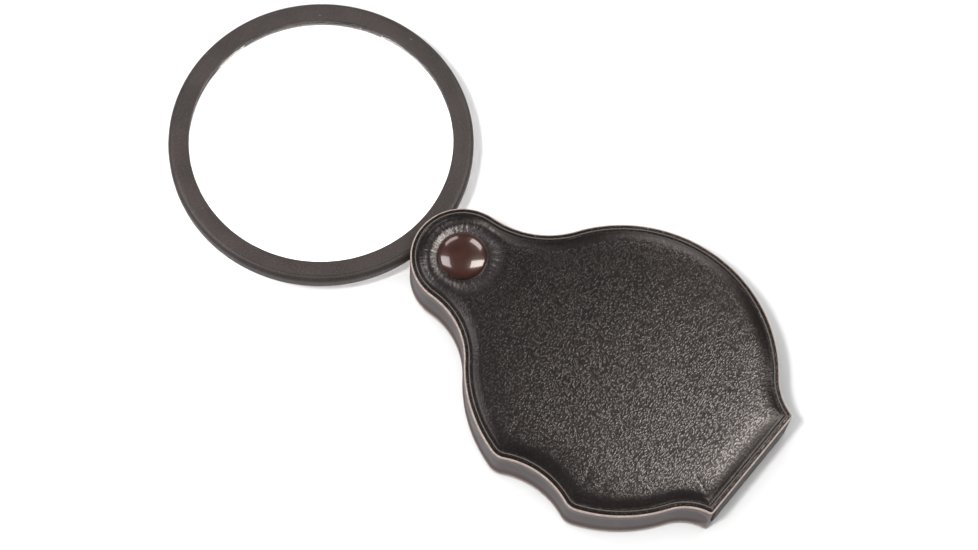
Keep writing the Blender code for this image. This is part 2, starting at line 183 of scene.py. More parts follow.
# Foam, plates and the gap between stacked sheets.
FOAM_INSET = 2.7
FOAM_GAP = 0.06
FOAM_COLUMN_STEP = 3
FOAM_ROWS = 16
FOAM_FIRST_SHARE = 0.02
FOAM_FOOT = 0.03
FOAM_WELL_EASE = 0.6
PLATE_EASE = 0.12
PLATE_EASE_MID = 0.03
PLATE_EASE_MID_H = 0.04
STACK_GAP = 0.05

# Ring and its ear.
RING_HOLE_R = 29.4
RING_HALF_T = 2.2
SHOULDER_IN = 1.15
SHOULDER_DROP = 1.35
SEAT_R = 31.15
EAR_R = 7.5
EAR_HOLE_R = 3.28
EAR_HALF_T = 3.8
EAR_EASE = 0.2
RING_LIP_EASE, RING_LIP_EASE_MID = 0.22, 0.07
WEB_OVERLAP = 3.0
WEB_STEP = 0.3
WEB_HALF_W = 5.6
LENS_EDGE_HALF = 0.7
LIP_CLEARANCE = 0.12

# Side wall and spine.
WALL_T = 1.5
WALL_START = 209.0
WALL_BORDER = 0.7
WALL_RECESS = 0.25
RECESS_SLOPE = 0.16
WALL_EASE = 0.2
WALL_EASE_MID = 0.06
SPINE_OUT = 34.2
SPINE_IN = 33.55
SPINE_WALL_GAP = 2.1
SPINE_OPEN_GAP = 1.9
SPINE_STEPS = 12


# ---- plane geometry ----


def polar(radius, degrees):
    angle = math.radians(degrees)
    return np.array([radius * math.cos(angle), radius * math.sin(angle)])


def unit(vector):
    return vector / np.linalg.norm(vector)


def heading(vector):
    return math.atan2(vector[1], vector[0])


def meet(centre_a, radius_a, centre_b, radius_b, side):
    """The crossing of two circles that lies left (side 1) or right (side -1) of the line from a to b."""
    line = centre_b - centre_a
    length = np.linalg.norm(line)
    along = (radius_a**2 - radius_b**2 + length**2) / (2 * length)
    across = math.sqrt(radius_a**2 - along**2)
    ahead = line / length
    return centre_a + ahead * along + np.array([-ahead[1], ahead[0]]) * across * side


TAIL_NORMAL = polar(1.0, TAIL_TURN)
TAIL_ALONG = polar(1.0, TAIL_TURN + 90.0)
OPEN_NECK = meet(PIVOT, LOBE_R + OPEN_NECK_R, OPEN_BODY, BODY_R + OPEN_NECK_R, 1)
WALL_NECK = meet(PIVOT, LOBE_R + WALL_NECK_R, WALL_BODY, BODY_R + WALL_NECK_R, -1)
NOTCH_LEFT = meet(WALL_BODY, BODY_R - NOTCH_CORNER_R, NOTCH_CENTRE, NOTCH_R + NOTCH_CORNER_R, -1)
NOTCH_RIGHT = meet(WALL_BODY, BODY_R - NOTCH_CORNER_R, NOTCH_CENTRE, NOTCH_R + NOTCH_CORNER_R, 1)


def tail_point(reach, along):
    return TAIL_NORMAL * reach + TAIL_ALONG * along


OPEN_TAIL = meet(OPEN_BODY, BODY_R + OPEN_TAIL_R, tail_point(TAIL_REACH, TAIL_HALF), OPEN_TAIL_R, 1)
WALL_TAIL = meet(WALL_BODY, BODY_R + WALL_TAIL_R, tail_point(TAIL_REACH, -TAIL_HALF), WALL_TAIL_R, -1)


def tail_corner(fillet, fillet_r, side, inset):
    """Centre and radius of the small circle that rounds a tail corner, on an outline moved in by inset."""
    radius = max(TAIL_CORNER_R - inset, LEAST_CORNER_R)
    reach = TAIL_REACH - inset - radius
    across = reach - fillet @ TAIL_NORMAL
    span = math.sqrt((fillet_r + inset + radius) ** 2 - across**2)
    return tail_point(reach, fillet @ TAIL_ALONG - side * span), radius


def circles(inset):
    """The outline's circles, with the case on the left: centre, radius, and 1 for an outward bulge."""
    wall_corner, wall_corner_r = tail_corner(WALL_TAIL, WALL_TAIL_R, -1, inset)
    open_corner, open_corner_r = tail_corner(OPEN_TAIL, OPEN_TAIL_R, 1, inset)
    return [
        (open_corner, open_corner_r, 1),
        (OPEN_TAIL, OPEN_TAIL_R + inset, -1),
        (OPEN_BODY, BODY_R - inset, 1),
        (OPEN_NECK, OPEN_NECK_R + inset, -1),
        (PIVOT, LOBE_R - inset, 1),
        (WALL_NECK, WALL_NECK_R + inset, -1),
        (WALL_BODY, BODY_R - inset, 1),
        (NOTCH_LEFT, NOTCH_CORNER_R - inset, 1),
        (NOTCH_CENTRE, NOTCH_R + inset, -1),
        (NOTCH_RIGHT, NOTCH_CORNER_R - inset, 1),
        (WALL_BODY, BODY_R - inset, 1),
        (WALL_TAIL, WALL_TAIL_R + inset, -1),
        (wall_corner, wall_corner_r, 1),
    ]


def touch(a, b):
    """The point where two neighbouring circles touch."""
    if a[2] == b[2]:
        big, small = (a, b) if a[1] > b[1] else (b, a)
        return big[0] + unit(small[0] - big[0]) * big[1]
    return a[0] + unit(b[0] - a[0]) * a[1]


def arc_angles(chain):
    """First and last angle of each circle's arc, in radians, the last unwrapped in the arc's own turn."""
    joins = [chain[0][0] + TAIL_NORMAL * chain[0][1]]
    joins += [touch(a, b) for a, b in zip(chain, chain[1:])]
    joins.append(chain[-1][0] + TAIL_NORMAL * chain[-1][1])
    angles = []
    for (centre, _, turn), first, last in zip(chain, joins, joins[1:]):
        start, end = heading(first - centre), heading(last - centre)
        angles.append((start, start + turn * ((end - start) * turn % math.tau)))
    return angles


def arc_steps(step):
    base = circles(0.0)
    turns = [abs(end - start) for start, end in arc_angles(base)]
    return [max(4, math.ceil(turn * radius / step)) for turn, (_, radius, _) in zip(turns, base)]


STEPS = arc_steps(POINT_STEP)
TAIL_STEPS = math.ceil(2 * TAIL_HALF / POINT_STEP)


def outline(inset):
    """Points round the case, moved in by inset. A point keeps its place in the list at every inset."""
    chain = circles(inset)
    points = []
    for (centre, radius, _), (start, end), steps in zip(chain, arc_angles(chain), STEPS):
        for index in range(steps):
            points.append(centre + polar(radius, math.degrees(start + (end - start) * index / steps)))
    last, first = chain[-1][0] + TAIL_NORMAL * chain[-1][1], points[0]
    for index in range(TAIL_STEPS):
        points.append(last + (first - last) * index / TAIL_STEPS)
    return np.array(points)


OUTLINE = outline(0.0)
COUNT = len(OUTLINE)
AROUND = np.concatenate([[0.0], np.cumsum(np.linalg.norm(np.roll(OUTLINE, -1, 0) - OUTLINE, axis=1))])
EDGE_TREE = KDTree(COUNT)
for place_in_list, corner in enumerate(OUTLINE):
    EDGE_TREE.insert((*corner, 0.0), place_in_list)
EDGE_TREE.balance()


def drawn_in(inset, share):
    """The outline moved in by inset, then drawn towards the line from the rivet to the case's middle."""
    points = outline(inset)
    spine = np.column_stack([np.clip(points[:, 0], PIVOT[0], 0.0), np.zeros(len(points))])
    return points + (spine - points) * share


def smooth(value, start, end):
    t = np.clip((value - start) / (end - start), 0.0, 1.0)
    return t * t * (3 - 2 * t)


# ---- mesh helpers ----


def make_piece(name, points, faces, paint, sharp=30.0):
    """A mesh object from points in millimetres and faces, closed and facing out."""
    mesh = bpy.data.meshes.new(name)
    mesh.from_pydata((np.asarray(points) * MM).tolist(), [], faces)
    mesh.update()
    obj = bpy.data.objects.new(name, mesh)
    bpy.context.scene.collection.objects.link(obj)
    face_out(mesh)
    mesh.shade_smooth()
    mesh.set_sharp_from_angle(angle=math.radians(sharp))
    mesh.materials.append(paint)
    return obj


def face_out(mesh):
    """Turns every face over if the closed mesh holds a negative volume."""
    mesh.calc_loop_triangles()
    corners = np.zeros(len(mesh.loop_triangles) * 3, np.int32)
    mesh.loop_triangles.foreach_get("vertices", corners)
    co = np.zeros(len(mesh.vertices) * 3, np.float32)
    mesh.vertices.foreach_get("co", co)
    triangles = co.reshape(-1, 3).astype(float)[corners.reshape(-1, 3)]
    if np.linalg.det(triangles).sum() < 0:
        mesh.flip_normals()


def ring_faces(rows, count, first=0):
    """Quads between rows of points, each row closed on itself."""
    faces = []
    for row in range(rows - 1):
        low = first + row * count
        for index in range(count):
            after = (index + 1) % count
            faces.append((low + index, low + after, low + count + after, low + count + index))
    return faces


def closing_strip(points, first):
    """Triangles across a long thin loop, zipped from its +X end to its -X end."""
    count, x = len(points), points[:, 0]
    left = int(np.argmin(x))
    ahead = behind = int(np.argmax(x))
    faces = []
    while ahead != left or behind != left:
        after, before = (ahead + 1) % count, (behind - 1) % count
        if behind == left or (ahead != left and x[after] >= x[before]):
            triangle, ahead = (ahead, after, behind), after
        else:
            triangle, behind = (ahead, before, behind), before
        if len(set(triangle)) == 3:
            faces.append(tuple(first + index for index in triangle))
    return faces


def turned(name, profile, centre, paint, face=1, sides=96, sharp=30.0):
    """A solid of revolution from a closed list of (radius, height over the mid plane)."""
    points, faces, rings = [], [], []
    for radius, height in profile:
        z = MID_Z + face * height
        if radius < 1e-6:
            rings.append([len(points)])
            points.append((*centre, z))
            continue
        rings.append(list(range(len(points), len(points) + sides)))
        points += [(*(centre + polar(radius, 360.0 * index / sides)), z) for index in range(sides)]
    for ring_a, ring_b in zip(rings, rings[1:] + rings[:1]):
        for index in range(sides):
            after = (index + 1) % sides
            quad = [ring_a[index % len(ring_a)], ring_a[after % len(ring_a)]]
            quad += [ring_b[after % len(ring_b)], ring_b[index % len(ring_b)]]
            loop = list(dict.fromkeys(quad))
            if len(loop) > 2:
                faces.append(loop)
    return make_piece(name, points, faces, paint, sharp)


def slab(name, loops, paint, face=1, sharp=30.0):
    """A closed solid through loops of (points, height), with a flat lid on the first and the last."""
    count = len(loops[0][0])
    points = [(x, y, MID_Z + face * height) for loop, height in loops for x, y in loop]
    faces = ring_faces(len(loops), count)
    faces.append(tuple(range(count)))
    faces.append(tuple(range((len(loops) - 1) * count, len(loops) * count)))
    return make_piece(name, points, faces, paint, sharp)


def combine(obj, other, operation):
    """Joins other to obj or cuts it away, and takes the result as obj's own mesh."""
    modifier = obj.modifiers.new(operation.lower(), "BOOLEAN")
    modifier.operation = operation
    modifier.solver = "EXACT"
    modifier.object = other
    graph = bpy.context.evaluated_depsgraph_get()
    mesh = bpy.data.meshes.new_from_object(obj.evaluated_get(graph), depsgraph=graph)
    obj.modifiers.clear()
    obj.data = mesh
    bpy.data.objects.remove(other, do_unlink=True)


def drill(obj, radius, low, high, paint, face=1):
    """Cuts a round hole at the rivet through obj."""
    profile = [(0.0, low), (radius, low), (radius, high), (0.0, high)]
    combine(obj, turned(obj.name + "_drill", profile, PIVOT, paint, face), "DIFFERENCE")


def arc(centre, radius_out, radius_up, start, end, steps):
    """Points (radius, height) on a quarter or other arc of an ellipse, in a turned section."""
    angles = [math.radians(start + (end - start) * index / steps) for index in range(steps + 1)]
    return [(centre[0] + radius_out * math.cos(a), centre[1] + radius_up * math.sin(a)) for a in angles]


def stand_for(obj, body, slot_name, *nodes):
    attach(obj, body)
    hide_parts(*nodes)


# ---- materials ----


class Paint:
    """One material's node tree. A value given for a socket is set on it, and a socket given is linked."""

    def __init__(self, name, **values):
        self.material = bpy.data.materials.new(name)
        self.material.use_nodes = True
        self.tree = self.material.node_tree
        self.tree.nodes.clear()
        out = self.tree.nodes.new("ShaderNodeOutputMaterial")
        settings = {name.replace("_", " "): value for name, value in values.items()}
        self.shader = self.node("ShaderNodeBsdfPrincipled", settings)
        self.tree.links.new(self.shader.outputs[0], out.inputs["Surface"])
        place = self.node("ShaderNodeTexCoord").outputs["Object"]
        self.mm = self.vectors("SCALE", {0: place, "Scale": 1 / MM})

    def node(self, kind, values=None, **settings):
        made = self.tree.nodes.new(kind)
        for key, value in settings.items():
            setattr(made, key, value)
        for key, value in (values or {}).items():
            if isinstance(value, bpy.types.NodeSocket):
                self.tree.links.new(value, made.inputs[key])
            else:
                made.inputs[key].default_value = value
        return made

    def vectors(self, operation, values):
        return self.node("ShaderNodeVectorMath", values, operation=operation).outputs[0]

    def noise(self, where, scale, detail=2.0, rough=0.5, twist=0.0):
        values = {"Vector": where, "Scale": scale, "Detail": detail, "Roughness": rough}
        return self.node("ShaderNodeTexNoise", {**values, "Distortion": twist}).outputs["Fac"]

    def cells(self, where, scale, soft=0.35, feature="SMOOTH_F1"):
        values = {"Vector": where, "Scale": scale}
        if feature == "SMOOTH_F1":
            values["Smoothness"] = soft
        return self.node("ShaderNodeTexVoronoi", values, feature=feature).outputs["Distance"]

    def maths(self, operation, a, b):
        return self.node("ShaderNodeMath", {0: a, 1: b}, operation=operation).outputs[0]

    def span(self, value, low, high, to_low=0.0, to_high=1.0):
        values = {"Value": value, "From Min": low, "From Max": high, "To Min": to_low, "To Max": to_high}
        return self.node("ShaderNodeMapRange", values).outputs[0]

    def blend(self, share, a, b):
        values = {"Factor": share, "A": a, "B": b}
        return self.node("ShaderNodeMix", values, data_type="FLOAT").outputs[0]

    def tint(self, share, a, b):
        made = self.node("ShaderNodeMix", {"Factor": share}, data_type="RGBA")
        for key, value in (("A", a), ("B", b)):
            socket = next(s for s in made.inputs if s.name == key and s.type == "RGBA")
            if isinstance(value, bpy.types.NodeSocket):
                self.tree.links.new(value, socket)
            else:
                socket.default_value = (*value, 1.0)
        return next(s for s in made.outputs if s.type == "RGBA")

    def stored(self, name):
        made = self.node("ShaderNodeAttribute", attribute_name=name, attribute_type="GEOMETRY")
        return made.outputs["Fac"]

    def feed(self, socket, value):
        self.tree.links.new(value, self.shader.inputs[socket])

    def bump(self, height, depth, strength=1.0, under=None):
        """Bump of the given depth in millimetres, over another bump if there is one."""
        values = {"Height": height, "Strength": strength, "Distance": depth * MM}
        if under is not None:
            values["Normal"] = under
        return self.node("ShaderNodeBump", values).outputs[0]


def drawn_lines(paint, uv_map, pitch, length):
    """Fine lines that run away from an edge, from a map of millimetres along and away from it."""
    where = paint.node("ShaderNodeUVMap", uv_map=uv_map).outputs[0]
    stretched = paint.vectors("MULTIPLY", {0: where, 1: (1 / pitch, 1 / length, 1.0)})
    return paint.noise(stretched, 1.0, 3.0, 0.55, 0.3)


def ruck_lines(paint, pitch, length):
    """Fine lines that run away from the rivet, from each point's direction and distance from it."""
    away = paint.vectors("SUBTRACT", {0: paint.mm, 1: (*PIVOT, 0.0)})
    flat = paint.vectors("MULTIPLY", {0: away, 1: (1.0, 1.0, 0.0)})
    turn = paint.vectors("NORMALIZE", {0: flat})
    distance = paint.node("ShaderNodeVectorMath", {0: flat}, operation="LENGTH").outputs["Value"]
    wheel = DIMPLE_RIM_R / pitch
    spread = paint.vectors("MULTIPLY", {0: turn, 1: (wheel,) * 3})
    across, up, _ = paint.node("ShaderNodeSeparateXYZ", {0: spread}).outputs
    out = paint.maths("DIVIDE", distance, length)
    where = paint.node("ShaderNodeCombineXYZ", {0: across, 1: up, 2: out}).outputs[0]
    return paint.noise(where, 1.0, 3.0, 0.55, 0.2)


def leather_paint():
    """Black-brown pebbled leatherette whose grain is drawn into fine lines where it was pulled down."""
    paint = Paint("leather_black")
    where = paint.mm
    bent = paint.vectors("MULTIPLY", {0: where, 1: (1.35, 0.72, 1.0)})
    warp = paint.node("ShaderNodeTexNoise", {"Vector": where, "Scale": 0.3, "Detail": 1.0}).outputs["Color"]
    shifted = paint.vectors("ADD", {0: warp, 1: bent})
    pebbles = paint.maths("SUBTRACT", 1.0, paint.cells(shifted, 2.3, 0.35))
    creases = paint.noise(shifted, 2.2, 2.0, 0.5, 0.0)
    fine = paint.noise(where, 7.0, 2.0, 0.5)
    grain = paint.maths("ADD", paint.maths("MULTIPLY", pebbles, 0.8), paint.maths("MULTIPLY", creases, 0.6))
    lines = paint.maths("MULTIPLY", drawn_lines(paint, "edge", 0.4, 2.2), 0.95)
    rucks = paint.maths("MULTIPLY", ruck_lines(paint, 0.6, 2.0), 2.2)
    height = paint.blend(paint.stored("rucked"), paint.blend(paint.stored("pull"), grain, lines), rucks)
    first = paint.bump(height, 0.044, 1.0)
    paint.feed("Normal", paint.bump(fine, 0.02, 0.5, first))
    patches = paint.noise(where, 0.06, 3.0, 0.5)
    base = paint.tint(paint.span(patches, 0.35, 0.65), (0.0095, 0.0078, 0.0074), (0.0135, 0.0110, 0.0103))
    # Pebble tops are painted lighter than the gaps between them: a painted highlight on the tops and
    # painted shade in the gaps.
    painted_grain_light = paint.tint(paint.span(grain, 0.7, 1.15), base, (0.024, 0.0196, 0.0182))
    paint.feed("Base Color", painted_grain_light)
    gloss = paint.span(grain, 0.5, 1.2, 0.3, 0.24)
    paint.feed("Roughness", paint.blend(paint.stored("pull"), gloss, 0.17))
    paint.feed("Specular IOR Level", paint.span(height, 0.58, 1.02, 0.14, 0.8))
    return paint.material


def weld_paint():
    """The same leather where the hot tool pressed it flat: finer, beaded and glossier, with a painted
    highlight along the bead.
    """
    paint = Paint("leather_weld")
    beads = paint.maths("SUBTRACT", 1.0, paint.cells(paint.mm, 2.6, 0.25))
    grit = paint.noise(paint.mm, 5.0, 2.0, 0.6)
    first = paint.bump(beads, 0.02, 0.8)
    paint.feed("Normal", paint.bump(grit, 0.03, 0.5, first))
    base = paint.tint(paint.span(grit, 0.4, 0.7), (0.007, 0.0058, 0.0055), (0.016, 0.0132, 0.0120))
    # A light line along the bead: a painted highlight.
    painted_bead_highlight = paint.tint(paint.stored("painted_bead_highlight"), base, (0.17, 0.145, 0.13))
    specks = paint.span(paint.cells(paint.mm, 0.22, feature="F1"), 0.028, 0.018)
    paint.feed("Base Color", paint.tint(specks, painted_bead_highlight, (0.45, 0.42, 0.38)))
    paint.feed("Roughness", paint.span(grit, 0.3, 0.7, 0.34, 0.26))
    paint.feed("Specular IOR Level", paint.span(beads, 0.5, 0.85, 0.05, 0.55))
    return paint.material


def board_paint():
    """Light brown-grey cut edge of the stiff plates."""
    paint = Paint("board_edge", Roughness=0.5, Specular_IOR_Level=0.4)
    fibre = paint.noise(paint.mm, 1.8, 4.0, 0.6)
    share = paint.span(fibre, 0.35, 0.7)
    paint.feed("Base Color", paint.tint(share, (0.30, 0.225, 0.190), (0.48, 0.385, 0.335)))
    paint.feed("Normal", paint.bump(fibre, 0.04, 0.5))
    return paint.material


def wall_paint():
    """Satin grey-mauve moulding, faintly mottled, lighter on its raised border."""
    paint = Paint("wall_mauve", Specular_IOR_Level=0.22)
    mottle = paint.noise(paint.mm, 0.55, 4.0, 0.6)
    grit = paint.noise(paint.mm, 6.0, 2.0, 0.5)
    face = paint.tint(paint.span(mottle, 0.35, 0.68), (0.055, 0.0405, 0.041), (0.078, 0.0585, 0.059))
    paint.feed("Base Color", paint.tint(paint.stored("border"), face, (0.135, 0.103, 0.098)))
    paint.feed("Roughness", paint.span(mottle, 0.3, 0.7, 0.4, 0.52))
    paint.feed("Normal", paint.bump(grit, 0.015, 0.5, paint.bump(mottle, 0.05, 0.4)))
    return paint.material


def ring_paint():
    """Matt dark brown-grey moulding with a fine spark-eroded stipple and a few light specks."""
    paint = Paint("ring_stipple", Specular_IOR_Level=0.36)
    stipple = paint.noise(paint.mm, 3.2, 3.0, 0.6)
    dots = paint.maths("SUBTRACT", 1.0, paint.cells(paint.mm, 3.4, 0.3))
    height = paint.maths("ADD", stipple, paint.maths("MULTIPLY", dots, 0.5))
    patches = paint.noise(paint.mm, 0.12, 2.0, 0.5)
    base = paint.tint(paint.span(patches, 0.35, 0.65), (0.0225, 0.0170, 0.0147), (0.033, 0.0255, 0.0225))
    lit = paint.tint(paint.span(stipple, 0.5, 0.75), base, (0.056, 0.046, 0.042))
    specks = paint.span(paint.cells(paint.mm, 0.42, feature="F1"), 0.04, 0.026)
    paint.feed("Base Color", paint.tint(specks, lit, (0.5, 0.48, 0.45)))
    paint.feed("Roughness", paint.span(stipple, 0.35, 0.7, 0.58, 0.44))
    paint.feed("Normal", paint.bump(height, 0.04, 0.6))
    return paint.material


def enamel_paint():
    """Deep gloss dark brown enamel over metal."""
    paint = Paint("cap_enamel", Roughness=0.3, Specular_IOR_Level=0.3, Coat_Weight=1.0, Coat_Roughness=0.09)
    depth = paint.noise(paint.mm, 0.5, 2.0, 0.5)
    share = paint.span(depth, 0.3, 0.7)
    paint.feed("Base Color", paint.tint(share, (0.033, 0.0105, 0.0075), (0.044, 0.0150, 0.0108)))
    paint.feed("Normal", paint.bump(paint.noise(paint.mm, 1.3, 2.0, 0.5), 0.012, 0.35))
    return paint.material


def glass_paint():
    """Clear lens with a trace of surface unevenness."""
    paint = Paint("lens_clear", Roughness=0.0, IOR=1.52, Transmission_Weight=1.0)
    paint.shader.inputs["Base Color"].default_value = (0.985, 0.995, 0.99, 1.0)
    paint.feed("Normal", paint.bump(paint.noise(paint.mm, 0.08, 1.0, 0.5), 0.002, 0.2))
    return paint.material


def steel_paint():
    paint = Paint("rivet_steel", Metallic=1.0)
    turning = paint.vectors("MULTIPLY", {0: paint.mm, 1: (0.4, 0.4, 9.0)})
    marks = paint.noise(turning, 1.0, 3.0, 0.6)
    paint.feed("Base Color", paint.tint(marks, (0.50, 0.49, 0.47), (0.68, 0.67, 0.65)))
    paint.feed("Roughness", paint.span(marks, 0.3, 0.7, 0.22, 0.4))
    paint.feed("Normal", paint.bump(marks, 0.01, 0.4))
    return paint.material


def nylon_paint():
    paint = Paint("washer_nylon", Roughness=0.5, Subsurface_Weight=0.1)
    cloud = paint.noise(paint.mm, 0.7, 3.0, 0.5)
    paint.feed("Base Color", paint.tint(cloud, (0.66, 0.63, 0.56), (0.76, 0.74, 0.68)))
    paint.feed("Normal", paint.bump(cloud, 0.02, 0.3))
    return paint.material


def lining_paint():
    """Thin dark sheet with a faint woven back."""
    paint = Paint("lining_dark", Roughness=0.7, Specular_IOR_Level=0.35)
    threads = {"Vector": paint.mm, "Scale": 1.6, "Mortar Size": 0.06}
    weave = paint.node("ShaderNodeTexBrick", threads).outputs["Fac"]
    fuzz = paint.noise(paint.mm, 5.0, 3.0, 0.6)
    paint.feed("Base Color", paint.tint(fuzz, (0.030, 0.026, 0.025), (0.055, 0.048, 0.046)))
    paint.feed("Normal", paint.bump(fuzz, 0.04, 0.5, paint.bump(weave, 0.03, 0.4)))
    return paint.material


def foam_paint():
    paint = Paint("pad_foam", Roughness=0.95, Specular_IOR_Level=0.2)
    pores = paint.cells(paint.mm, 2.2, 0.2)
    paint.feed("Base Color", paint.tint(pores, (0.34, 0.32, 0.27), (0.58, 0.55, 0.48)))
    paint.feed("Normal", paint.bump(pores, 0.1, 0.6))
    return paint.material


def floor_paint():
    paint = Paint("pale_floor", Roughness=0.9, Specular_IOR_Level=0.0)
    cloud = paint.noise(paint.mm, 0.01, 2.0, 0.5)
    paint.feed("Base Color", paint.tint(cloud, (0.82, 0.82, 0.82), (0.84, 0.84, 0.84)))
    return paint.material


# ---- covers ----


def edge_distance(points):
    return np.array([EDGE_TREE.find((x, y, 0.0))[2] for x, y in points])


def wobble(angle, waves, seed):
    """A smooth periodic function of an angle, from -1 to 1, of a few waves near the given number."""
    shift = np.random.default_rng(seed).uniform(0, math.tau, 5)
    total = sum(np.sin((waves + step * 5) * angle + shift[step + 2]) for step in range(-2, 3))
    return total / WOBBLE_PEAK


def soft_distance(points):
    """Distance to the outline without the creases that lie opposite its corners."""

    def pooled(gaps, weights):
        return -SOFTENING * np.log((np.exp(-gaps / SOFTENING) * weights).sum(axis=1))

    before = np.linalg.norm(OUTLINE - np.roll(OUTLINE, 1, 0), axis=1)
    weights = (before + np.roll(before, -1)) / 2
    known = np.linspace(0.0, SOFT_REACH, SOFT_SAMPLES)
    straight = np.arange(-SOFT_SPAN, SOFT_SPAN, POINT_STEP)
    pooled_straight = pooled(np.hypot(known[:, None], straight), POINT_STEP)
    parts = np.array_split(points, math.ceil(len(points) / SOFT_BATCH))
    gaps = (np.linalg.norm(part[:, None] - OUTLINE, axis=2) for part in parts)
    pooled_here = [pooled(part_gaps, weights) for part_gaps in gaps]
    return np.interp(np.concatenate(pooled_here), pooled_straight, known)


def cover_height(points, distance):
    """Height of the leather over its rim, from the distance to the outline and to the rivet."""
    to_pivot = points - PIVOT
    radius = np.linalg.norm(to_pivot, axis=1)
    angle = np.arctan2(to_pivot[:, 1], to_pivot[:, 0])
    bead = BEAD_H * np.exp(-(((distance - BEAD_AT) / BEAD_HALF) ** 2) * BEAD_SHARPNESS)
    channel = smooth(distance, CHANNEL_FROM, CHANNEL_FROM + CHANNEL_WALL_OUT)
    channel = channel * (1 - smooth(distance, CHANNEL_TO, CHANNEL_TO + CHANNEL_WALL_IN))
    near = smooth(distance, CHANNEL_TO, CHANNEL_TO + SOFT_FADE)
    inside = np.clip(distance + (soft_distance(points) - distance) * near - CHANNEL_TO, 0.0, None)
    # A straight slope that turns over into the flat within the last part of its reach.
    slope = np.clip(inside / RISE_REACH, 0.0, 1.5)
    rise = FLAT_SHARE * (slope - TURN_OVER * np.logaddexp(0.0, (slope - 1.0) / TURN_OVER))
    rise = rise + (1 - FLAT_SHARE) * (1 - np.exp(-inside / DOME_REACH))
    dimple_rim = DIMPLE_RIM_R + DIMPLE_SPREAD * (1 + np.cos(angle)) / 2
    well = smooth(radius, DIMPLE_R - DIMPLE_EASE, dimple_rim)
    pad = CROWN * rise * well
    pucker = PUCKER_H * np.exp(-(((radius - PUCKER_AT) / PUCKER_HALF) ** 2))
    ruck = wobble(angle, PUCKERS, 4) * pucker
    rounding = EDGE_DROP * np.clip((BEAD_AT - distance) / BEAD_AT, 0.0, 1.0) ** 2
    return np.minimum(pad + ruck * rise, CROWN) + bead - CHANNEL_DEPTH * channel - rounding


def cover_rings():
    """Plan points of the cover's rows, from the cut edge inwards."""
    rows = [outline(inset) for inset in EDGE_RINGS]
    return rows + [drawn_in(EDGE_RINGS[-1], share) for share in INNER_SHARES]


def swollen(flat, height):
    """The cover's heights after its pad has filled out, by a cloth held round its edge and at the rivet."""
    first = len(EDGE_RINGS) - 1
    rows = range(first, first + INNER_RINGS + 1, CLOTH_ROW_STEP)
    columns = np.arange(0, COUNT, CLOTH_COLUMN_STEP)
    picked = np.concatenate([row * COUNT + columns for row in rows])
    scale = CLOTH_SCALE * MM
    mesh = bpy.data.meshes.new("pad_cloth")
    faces = ring_faces(len(rows), len(columns))
    faces += closing_strip(flat[picked[-len(columns) :]], (len(rows) - 1) * len(columns))
    points = np.column_stack([flat[picked], height[picked]])
    mesh.from_pydata((points * scale).tolist(), [], faces)
    if sum(face.normal.z for face in mesh.polygons) < 0:
        mesh.flip_normals()
    cloth = bpy.data.objects.new("pad_cloth", mesh)
    bpy.context.scene.collection.objects.link(cloth)
    from_rivet = np.linalg.norm(flat[picked] - PIVOT, axis=1)
    held = cloth.vertex_groups.new(name="held")
    hold = (np.arange(len(picked)) < len(columns)) | (from_rivet < DIMPLE_R + HELD_PAST_DIMPLE)
    held.add(np.flatnonzero(hold).tolist(), 1, "ADD")
    modifier = cloth.modifiers.new("fill", "CLOTH")
    modifier.settings.vertex_group_mass = "held"
    modifier.settings.use_pressure = True
    modifier.settings.uniform_pressure_force = CLOTH_PRESSURE
    modifier.settings.effector_weights.gravity = 0.0
    modifier.settings.tension_stiffness = modifier.settings.compression_stiffness = CLOTH_STIFFNESS
    modifier.point_cache.frame_end = CLOTH_FRAMES
    for step in range(1, CLOTH_FRAMES + 1):
        bpy.context.scene.frame_set(step)
    moved = np.zeros(len(picked) * 3, np.float32)
    settled = cloth.evaluated_get(bpy.context.evaluated_depsgraph_get())
    settled.data.vertices.foreach_get("co", moved)
    shift = (moved.reshape(-1, 3)[:, 2] / scale - height[picked]).reshape(len(rows), len(columns))
    bpy.data.objects.remove(cloth, do_unlink=True)
    bpy.context.scene.frame_set(1)
    fade = smooth(from_rivet, DIMPLE_R + HELD_PAST_DIMPLE, SWELL_FROM).reshape(shift.shape)
    shift = SWELL * np.tanh(shift / SWELL) * fade
    known = np.concatenate([[0.0], INNER_SHARES])[:: CLOTH_ROW_STEP]
    stops = [*columns, COUNT]
    around = np.array([np.interp(np.arange(COUNT), stops, [*row, row[0]]) for row in shift])
    for row, share in enumerate(INNER_SHARES, first + 1):
        at = slice(row * COUNT, (row + 1) * COUNT)
        height[at] += [np.interp(share, known, column) for column in around.T]
    return height


def edge_uv(mesh, rows_of):
    """Stores how far along the outline and in from it each corner is, in millimetres."""
    layer = mesh.uv_layers.new(name="edge")
    loops = np.zeros(len(mesh.loops), np.int32)
    mesh.loops.foreach_get("vertex_index", loops)
    index, inset = loops % COUNT, rows_of[loops]
    along = AROUND[index]
    starts = np.zeros(len(mesh.polygons), np.int32)
    totals = np.zeros(len(mesh.polygons), np.int32)
    mesh.polygons.foreach_get("loop_start", starts)
    mesh.polygons.foreach_get("loop_total", totals)
    for start, total in zip(starts, totals):
        if total == 4 and index[start : start + 4].max() == COUNT - 1:
            ends = slice(start, start + 4)
            along[ends] = np.where(index[ends] == 0, AROUND[-1], along[ends])
    layer.data.foreach_set("uv", np.column_stack([along, inset]).astype(np.float32).ravel())


def store(mesh, name, values):
    mesh.attributes.new(name, "FLOAT", "POINT").data.foreach_set("value", np.asarray(values, np.float32))


